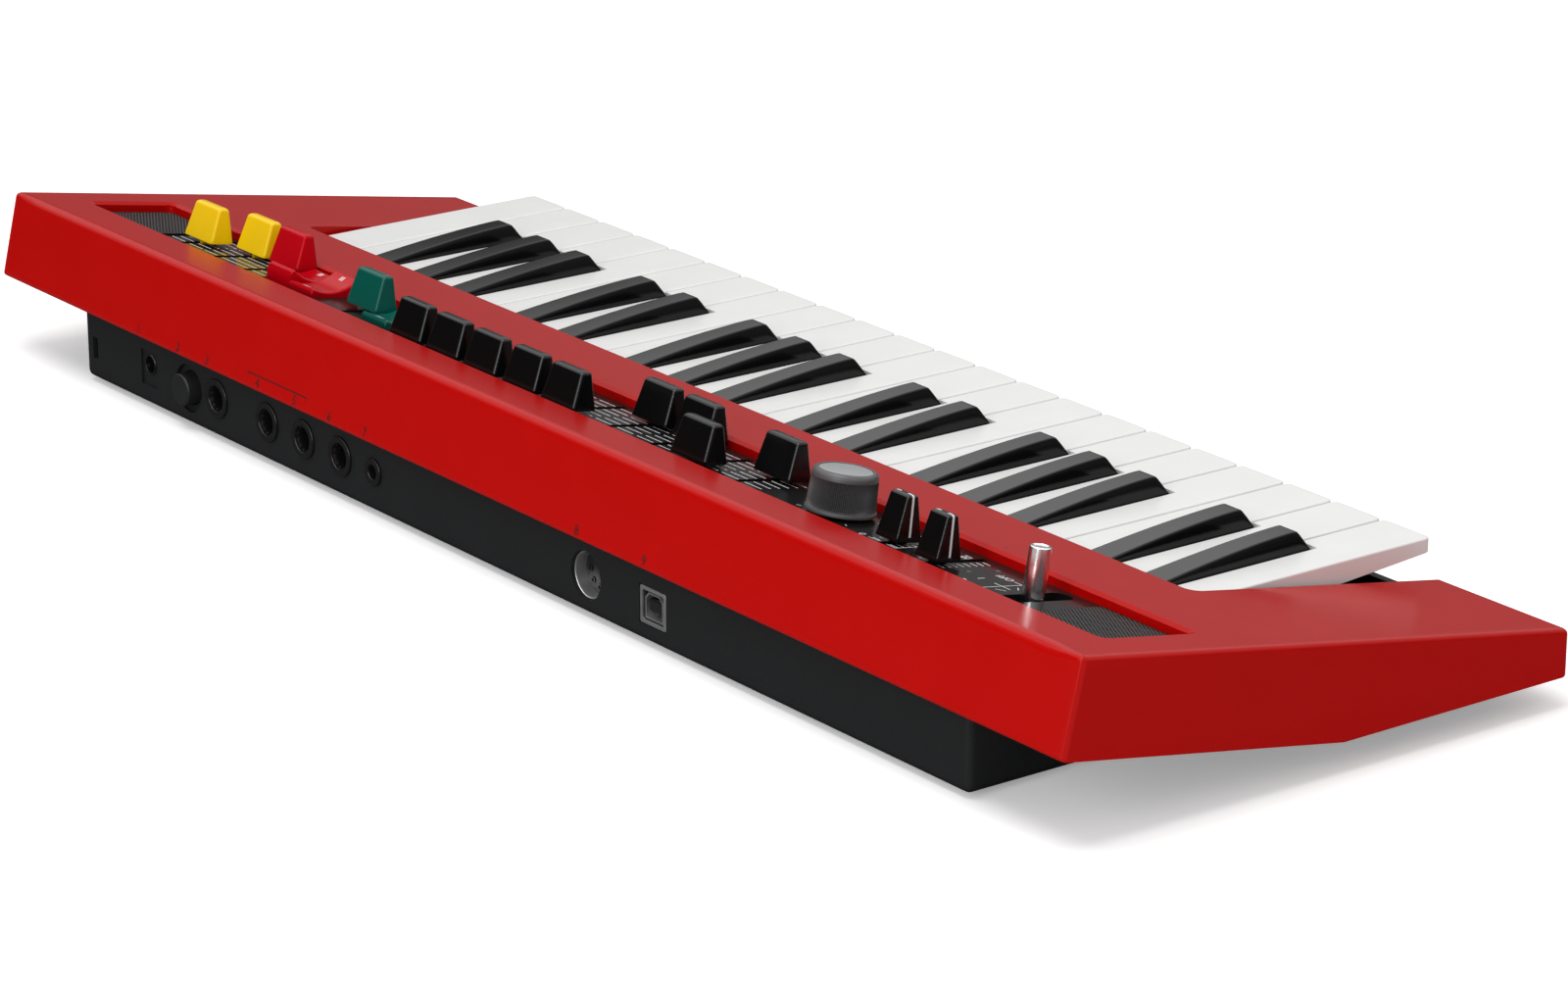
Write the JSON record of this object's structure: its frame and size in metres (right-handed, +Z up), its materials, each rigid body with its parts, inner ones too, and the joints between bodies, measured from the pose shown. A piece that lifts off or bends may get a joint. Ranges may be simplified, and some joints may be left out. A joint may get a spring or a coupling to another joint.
{
  "type": "combo organ",
  "caption": "Portable combo organ with mini keys, drawbar style sliders, rocker switches, a wave knob, a rotary speed lever and rear sockets in a red and black case",
  "frame": {"origin": "under the middle of the object, on the surface that its feet stand on", "axes": "+X to the player's right along the keyboard, +Y to the rear with the sockets, +Z up"},
  "size_m": [0.53, 0.1747, 0.0572],
  "materials": {
    "case_red": "satin red moulded plastic",
    "case_black": "fine textured black plastic",
    "key_white": "polished white plastic",
    "key_black": "satin black plastic",
    "cap_black": "satin black plastic",
    "cap_green": "satin green plastic",
    "cap_red": "satin red plastic",
    "cap_yellow": "satin yellow plastic",
    "rocker_green": "glossy green plastic",
    "rocker_red": "glossy red plastic",
    "knob_black": "knurled black plastic with a brushed insert",
    "lever_chrome": "polished chrome plating"
  },
  "bodies": {
    "case": {"top_case": "case_red", "base_case": "case_black"},
    "key_01_c": {"key_01_c": "key_white"},
    "key_02_c_sharp": {"key_02_c_sharp": "key_black"},
    "key_03_d": {"key_03_d": "key_white"},
    "key_04_d_sharp": {"key_04_d_sharp": "key_black"},
    "key_05_e": {"key_05_e": "key_white"},
    "key_06_f": {"key_06_f": "key_white"},
    "key_07_f_sharp": {"key_07_f_sharp": "key_black"},
    "key_08_g": {"key_08_g": "key_white"},
    "key_09_g_sharp": {"key_09_g_sharp": "key_black"},
    "key_10_a": {"key_10_a": "key_white"},
    "key_11_a_sharp": {"key_11_a_sharp": "key_black"},
    "key_12_b": {"key_12_b": "key_white"},
    "key_13_c": {"key_13_c": "key_white"},
    "key_14_c_sharp": {"key_14_c_sharp": "key_black"},
    "key_15_d": {"key_15_d": "key_white"},
    "key_16_d_sharp": {"key_16_d_sharp": "key_black"},
    "key_17_e": {"key_17_e": "key_white"},
    "key_18_f": {"key_18_f": "key_white"},
    "key_19_f_sharp": {"key_19_f_sharp": "key_black"},
    "key_20_g": {"key_20_g": "key_white"},
    "key_21_g_sharp": {"key_21_g_sharp": "key_black"},
    "key_22_a": {"key_22_a": "key_white"},
    "key_23_a_sharp": {"key_23_a_sharp": "key_black"},
    "key_24_b": {"key_24_b": "key_white"},
    "key_25_c": {"key_25_c": "key_white"},
    "key_26_c_sharp": {"key_26_c_sharp": "key_black"},
    "key_27_d": {"key_27_d": "key_white"},
    "key_28_d_sharp": {"key_28_d_sharp": "key_black"},
    "key_29_e": {"key_29_e": "key_white"},
    "key_30_f": {"key_30_f": "key_white"},
    "key_31_f_sharp": {"key_31_f_sharp": "key_black"},
    "key_32_g": {"key_32_g": "key_white"},
    "key_33_g_sharp": {"key_33_g_sharp": "key_black"},
    "key_34_a": {"key_34_a": "key_white"},
    "key_35_a_sharp": {"key_35_a_sharp": "key_black"},
    "key_36_b": {"key_36_b": "key_white"},
    "key_37_c": {"key_37_c": "key_white"},
    "footage_slider_1": {"footage_slider_1": "cap_black"},
    "footage_slider_2": {"footage_slider_2": "cap_black"},
    "footage_slider_3": {"footage_slider_3": "cap_black"},
    "footage_slider_4": {"footage_slider_4": "cap_black"},
    "footage_slider_5": {"footage_slider_5": "cap_black"},
    "footage_slider_6": {"footage_slider_6": "cap_black"},
    "footage_slider_7": {"footage_slider_7": "cap_black"},
    "footage_slider_8": {"footage_slider_8": "cap_black"},
    "footage_slider_9": {"footage_slider_9": "cap_black"},
    "vibrato_depth_slider": {"vibrato_depth_slider": "cap_green"},
    "percussion_length_slider": {"percussion_length_slider": "cap_red"},
    "effect_slider_1": {"effect_slider_1": "cap_yellow"},
    "effect_slider_2": {"effect_slider_2": "cap_yellow"},
    "octave_slider": {"octave_slider": "cap_black"},
    "volume_slider": {"volume_slider": "cap_black"},
    "rotary_lever": {"rotary_lever": "lever_chrome"},
    "wave_knob": {"wave_knob": "knob_black"},
    "vibrato_rocker": {"vibrato_rocker": "rocker_green"},
    "percussion_rocker_1": {"percussion_rocker_1": "rocker_red"},
    "percussion_rocker_2": {"percussion_rocker_2": "rocker_red"},
    "power_button": {"power_button": "cap_black"}
  },
  "joints": [
    {"name": "key_01_c_press", "type": "hinge", "parent": "case", "child": "key_01_c", "pos_m": [-0.20496, 0.044, 0.03], "axis": [1, 0, 0], "range_deg": [0, 2.67], "stiffness_Nm_per_rad": 1, "springref_deg": -3.44},
    {"name": "key_02_c_sharp_press", "type": "hinge", "parent": "case", "child": "key_02_c_sharp", "pos_m": [-0.1967, 0.044, 0.03], "axis": [1, 0, 0], "range_deg": [0, 2.67], "stiffness_Nm_per_rad": 1, "springref_deg": -3.44},
    {"name": "key_03_d_press", "type": "hinge", "parent": "case", "child": "key_03_d", "pos_m": [-0.18544, 0.044, 0.03], "axis": [1, 0, 0], "range_deg": [0, 2.67], "stiffness_Nm_per_rad": 1, "springref_deg": -3.44},
    {"name": "key_04_d_sharp_press", "type": "hinge", "parent": "case", "child": "key_04_d_sharp", "pos_m": [-0.17418, 0.044, 0.03], "axis": [1, 0, 0], "range_deg": [0, 2.67], "stiffness_Nm_per_rad": 1, "springref_deg": -3.44},
    {"name": "key_05_e_press", "type": "hinge", "parent": "case", "child": "key_05_e", "pos_m": [-0.16592, 0.044, 0.03], "axis": [1, 0, 0], "range_deg": [0, 2.67], "stiffness_Nm_per_rad": 1, "springref_deg": -3.44},
    {"name": "key_06_f_press", "type": "hinge", "parent": "case", "child": "key_06_f", "pos_m": [-0.1464, 0.044, 0.03], "axis": [1, 0, 0], "range_deg": [0, 2.67], "stiffness_Nm_per_rad": 1, "springref_deg": -3.44},
    {"name": "key_07_f_sharp_press", "type": "hinge", "parent": "case", "child": "key_07_f_sharp", "pos_m": [-0.13874, 0.044, 0.03], "axis": [1, 0, 0], "range_deg": [0, 2.67], "stiffness_Nm_per_rad": 1, "springref_deg": -3.44},
    {"name": "key_08_g_press", "type": "hinge", "parent": "case", "child": "key_08_g", "pos_m": [-0.12688, 0.044, 0.03], "axis": [1, 0, 0], "range_deg": [0, 2.67], "stiffness_Nm_per_rad": 1, "springref_deg": -3.44},
    {"name": "key_09_g_sharp_press", "type": "hinge", "parent": "case", "child": "key_09_g_sharp", "pos_m": [-0.11712, 0.044, 0.03], "axis": [1, 0, 0], "range_deg": [0, 2.67], "stiffness_Nm_per_rad": 1, "springref_deg": -3.44},
    {"name": "key_10_a_press", "type": "hinge", "parent": "case", "child": "key_10_a", "pos_m": [-0.10736, 0.044, 0.03], "axis": [1, 0, 0], "range_deg": [0, 2.67], "stiffness_Nm_per_rad": 1, "springref_deg": -3.44},
    {"name": "key_11_a_sharp_press", "type": "hinge", "parent": "case", "child": "key_11_a_sharp", "pos_m": [-0.0955, 0.044, 0.03], "axis": [1, 0, 0], "range_deg": [0, 2.67], "stiffness_Nm_per_rad": 1, "springref_deg": -3.44},
    {"name": "key_12_b_press", "type": "hinge", "parent": "case", "child": "key_12_b", "pos_m": [-0.08784, 0.044, 0.03], "axis": [1, 0, 0], "range_deg": [0, 2.67], "stiffness_Nm_per_rad": 1, "springref_deg": -3.44},
    {"name": "key_13_c_press", "type": "hinge", "parent": "case", "child": "key_13_c", "pos_m": [-0.06832, 0.044, 0.03], "axis": [1, 0, 0], "range_deg": [0, 2.67], "stiffness_Nm_per_rad": 1, "springref_deg": -3.44},
    {"name": "key_14_c_sharp_press", "type": "hinge", "parent": "case", "child": "key_14_c_sharp", "pos_m": [-0.06006, 0.044, 0.03], "axis": [1, 0, 0], "range_deg": [0, 2.67], "stiffness_Nm_per_rad": 1, "springref_deg": -3.44},
    {"name": "key_15_d_press", "type": "hinge", "parent": "case", "child": "key_15_d", "pos_m": [-0.0488, 0.044, 0.03], "axis": [1, 0, 0], "range_deg": [0, 2.67], "stiffness_Nm_per_rad": 1, "springref_deg": -3.44},
    {"name": "key_16_d_sharp_press", "type": "hinge", "parent": "case", "child": "key_16_d_sharp", "pos_m": [-0.03754, 0.044, 0.03], "axis": [1, 0, 0], "range_deg": [0, 2.67], "stiffness_Nm_per_rad": 1, "springref_deg": -3.44},
    {"name": "key_17_e_press", "type": "hinge", "parent": "case", "child": "key_17_e", "pos_m": [-0.02928, 0.044, 0.03], "axis": [1, 0, 0], "range_deg": [0, 2.67], "stiffness_Nm_per_rad": 1, "springref_deg": -3.44},
    {"name": "key_18_f_press", "type": "hinge", "parent": "case", "child": "key_18_f", "pos_m": [-0.00976, 0.044, 0.03], "axis": [1, 0, 0], "range_deg": [0, 2.67], "stiffness_Nm_per_rad": 1, "springref_deg": -3.44},
    {"name": "key_19_f_sharp_press", "type": "hinge", "parent": "case", "child": "key_19_f_sharp", "pos_m": [-0.0021, 0.044, 0.03], "axis": [1, 0, 0], "range_deg": [0, 2.67], "stiffness_Nm_per_rad": 1, "springref_deg": -3.44},
    {"name": "key_20_g_press", "type": "hinge", "parent": "case", "child": "key_20_g", "pos_m": [0.00976, 0.044, 0.03], "axis": [1, 0, 0], "range_deg": [0, 2.67], "stiffness_Nm_per_rad": 1, "springref_deg": -3.44},
    {"name": "key_21_g_sharp_press", "type": "hinge", "parent": "case", "child": "key_21_g_sharp", "pos_m": [0.01952, 0.044, 0.03], "axis": [1, 0, 0], "range_deg": [0, 2.67], "stiffness_Nm_per_rad": 1, "springref_deg": -3.44},
    {"name": "key_22_a_press", "type": "hinge", "parent": "case", "child": "key_22_a", "pos_m": [0.02928, 0.044, 0.03], "axis": [1, 0, 0], "range_deg": [0, 2.67], "stiffness_Nm_per_rad": 1, "springref_deg": -3.44},
    {"name": "key_23_a_sharp_press", "type": "hinge", "parent": "case", "child": "key_23_a_sharp", "pos_m": [0.04114, 0.044, 0.03], "axis": [1, 0, 0], "range_deg": [0, 2.67], "stiffness_Nm_per_rad": 1, "springref_deg": -3.44},
    {"name": "key_24_b_press", "type": "hinge", "parent": "case", "child": "key_24_b", "pos_m": [0.0488, 0.044, 0.03], "axis": [1, 0, 0], "range_deg": [0, 2.67], "stiffness_Nm_per_rad": 1, "springref_deg": -3.44},
    {"name": "key_25_c_press", "type": "hinge", "parent": "case", "child": "key_25_c", "pos_m": [0.06832, 0.044, 0.03], "axis": [1, 0, 0], "range_deg": [0, 2.67], "stiffness_Nm_per_rad": 1, "springref_deg": -3.44},
    {"name": "key_26_c_sharp_press", "type": "hinge", "parent": "case", "child": "key_26_c_sharp", "pos_m": [0.07658, 0.044, 0.03], "axis": [1, 0, 0], "range_deg": [0, 2.67], "stiffness_Nm_per_rad": 1, "springref_deg": -3.44},
    {"name": "key_27_d_press", "type": "hinge", "parent": "case", "child": "key_27_d", "pos_m": [0.08784, 0.044, 0.03], "axis": [1, 0, 0], "range_deg": [0, 2.67], "stiffness_Nm_per_rad": 1, "springref_deg": -3.44},
    {"name": "key_28_d_sharp_press", "type": "hinge", "parent": "case", "child": "key_28_d_sharp", "pos_m": [0.0991, 0.044, 0.03], "axis": [1, 0, 0], "range_deg": [0, 2.67], "stiffness_Nm_per_rad": 1, "springref_deg": -3.44},
    {"name": "key_29_e_press", "type": "hinge", "parent": "case", "child": "key_29_e", "pos_m": [0.10736, 0.044, 0.03], "axis": [1, 0, 0], "range_deg": [0, 2.67], "stiffness_Nm_per_rad": 1, "springref_deg": -3.44},
    {"name": "key_30_f_press", "type": "hinge", "parent": "case", "child": "key_30_f", "pos_m": [0.12688, 0.044, 0.03], "axis": [1, 0, 0], "range_deg": [0, 2.67], "stiffness_Nm_per_rad": 1, "springref_deg": -3.44},
    {"name": "key_31_f_sharp_press", "type": "hinge", "parent": "case", "child": "key_31_f_sharp", "pos_m": [0.13454, 0.044, 0.03], "axis": [1, 0, 0], "range_deg": [0, 2.67], "stiffness_Nm_per_rad": 1, "springref_deg": -3.44},
    {"name": "key_32_g_press", "type": "hinge", "parent": "case", "child": "key_32_g", "pos_m": [0.1464, 0.044, 0.03], "axis": [1, 0, 0], "range_deg": [0, 2.67], "stiffness_Nm_per_rad": 1, "springref_deg": -3.44},
    {"name": "key_33_g_sharp_press", "type": "hinge", "parent": "case", "child": "key_33_g_sharp", "pos_m": [0.15616, 0.044, 0.03], "axis": [1, 0, 0], "range_deg": [0, 2.67], "stiffness_Nm_per_rad": 1, "springref_deg": -3.44},
    {"name": "key_34_a_press", "type": "hinge", "parent": "case", "child": "key_34_a", "pos_m": [0.16592, 0.044, 0.03], "axis": [1, 0, 0], "range_deg": [0, 2.67], "stiffness_Nm_per_rad": 1, "springref_deg": -3.44},
    {"name": "key_35_a_sharp_press", "type": "hinge", "parent": "case", "child": "key_35_a_sharp", "pos_m": [0.17778, 0.044, 0.03], "axis": [1, 0, 0], "range_deg": [0, 2.67], "stiffness_Nm_per_rad": 1, "springref_deg": -3.44},
    {"name": "key_36_b_press", "type": "hinge", "parent": "case", "child": "key_36_b", "pos_m": [0.18544, 0.044, 0.03], "axis": [1, 0, 0], "range_deg": [0, 2.67], "stiffness_Nm_per_rad": 1, "springref_deg": -3.44},
    {"name": "key_37_c_press", "type": "hinge", "parent": "case", "child": "key_37_c", "pos_m": [0.20496, 0.044, 0.03], "axis": [1, 0, 0], "range_deg": [0, 2.67], "stiffness_Nm_per_rad": 1, "springref_deg": -3.44},
    {"name": "footage_slider_1_slide", "type": "slide", "parent": "case", "child": "footage_slider_1", "axis": [0, 0.9848, 0.1736], "range_m": [-0.0018, 0.0162]},
    {"name": "footage_slider_2_slide", "type": "slide", "parent": "case", "child": "footage_slider_2", "axis": [0, 0.9848, 0.1736], "range_m": [-0.0159, 0.0021]},
    {"name": "footage_slider_3_slide", "type": "slide", "parent": "case", "child": "footage_slider_3", "axis": [0, 0.9848, 0.1736], "range_m": [-0.0003, 0.0177]},
    {"name": "footage_slider_4_slide", "type": "slide", "parent": "case", "child": "footage_slider_4", "axis": [0, 0.9848, 0.1736], "range_m": [0, 0.018]},
    {"name": "footage_slider_5_slide", "type": "slide", "parent": "case", "child": "footage_slider_5", "axis": [0, 0.9848, 0.1736], "range_m": [-0.018, 0]},
    {"name": "footage_slider_6_slide", "type": "slide", "parent": "case", "child": "footage_slider_6", "axis": [0, 0.9848, 0.1736], "range_m": [-0.0177, 0.0003]},
    {"name": "footage_slider_7_slide", "type": "slide", "parent": "case", "child": "footage_slider_7", "axis": [0, 0.9848, 0.1736], "range_m": [-0.018, 0]},
    {"name": "footage_slider_8_slide", "type": "slide", "parent": "case", "child": "footage_slider_8", "axis": [0, 0.9848, 0.1736], "range_m": [-0.0176, 0.0004]},
    {"name": "footage_slider_9_slide", "type": "slide", "parent": "case", "child": "footage_slider_9", "axis": [0, 0.9848, 0.1736], "range_m": [-0.0172, 0.0008]},
    {"name": "vibrato_depth_slider_slide", "type": "slide", "parent": "case", "child": "vibrato_depth_slider", "axis": [0, 0.9848, 0.1736], "range_m": [-0.0072, 0.0108]},
    {"name": "percussion_length_slider_slide", "type": "slide", "parent": "case", "child": "percussion_length_slider", "axis": [0, 0.9848, 0.1736], "range_m": [0, 0.018]},
    {"name": "effect_slider_1_slide", "type": "slide", "parent": "case", "child": "effect_slider_1", "axis": [0, 0.9848, 0.1736], "range_m": [-0.0008, 0.0172]},
    {"name": "effect_slider_2_slide", "type": "slide", "parent": "case", "child": "effect_slider_2", "axis": [0, 0.9848, 0.1736], "range_m": [-0.008, 0.01]},
    {"name": "octave_slider_slide", "type": "slide", "parent": "case", "child": "octave_slider", "axis": [0, 0.9848, 0.1736], "range_m": [-0.0139, 0.0041]},
    {"name": "volume_slider_slide", "type": "slide", "parent": "case", "child": "volume_slider", "axis": [0, 0.9848, 0.1736], "range_m": [-0.0116, 0.0064]},
    {"name": "rotary_lever_slide", "type": "slide", "parent": "case", "child": "rotary_lever", "axis": [0, 0.9848, 0.1736], "range_m": [-0.009, 0.009]},
    {"name": "wave_knob_turn", "type": "hinge", "parent": "case", "child": "wave_knob", "pos_m": [-0.1229, 0.04714, 0.04273], "axis": [0, -0.1736, 0.9848], "range_deg": [-60, 60]},
    {"name": "vibrato_rocker_tilt", "type": "hinge", "parent": "case", "child": "vibrato_rocker", "pos_m": [0.0965, 0.04575, 0.04025], "axis": [1, 0, 0], "range_deg": [0, 19]},
    {"name": "percussion_rocker_1_tilt", "type": "hinge", "parent": "case", "child": "percussion_rocker_1", "pos_m": [0.1374, 0.04575, 0.04025], "axis": [1, 0, 0], "range_deg": [0, 19]},
    {"name": "percussion_rocker_2_tilt", "type": "hinge", "parent": "case", "child": "percussion_rocker_2", "pos_m": [0.152, 0.04575, 0.04025], "axis": [1, 0, 0], "range_deg": [-19, 0]},
    {"name": "power_button_push", "type": "slide", "parent": "case", "child": "power_button", "axis": [0, -1, 0], "range_m": [0, 0.0018], "stiffness_N_per_m": 300, "springref_m": -0.001}
  ]
}
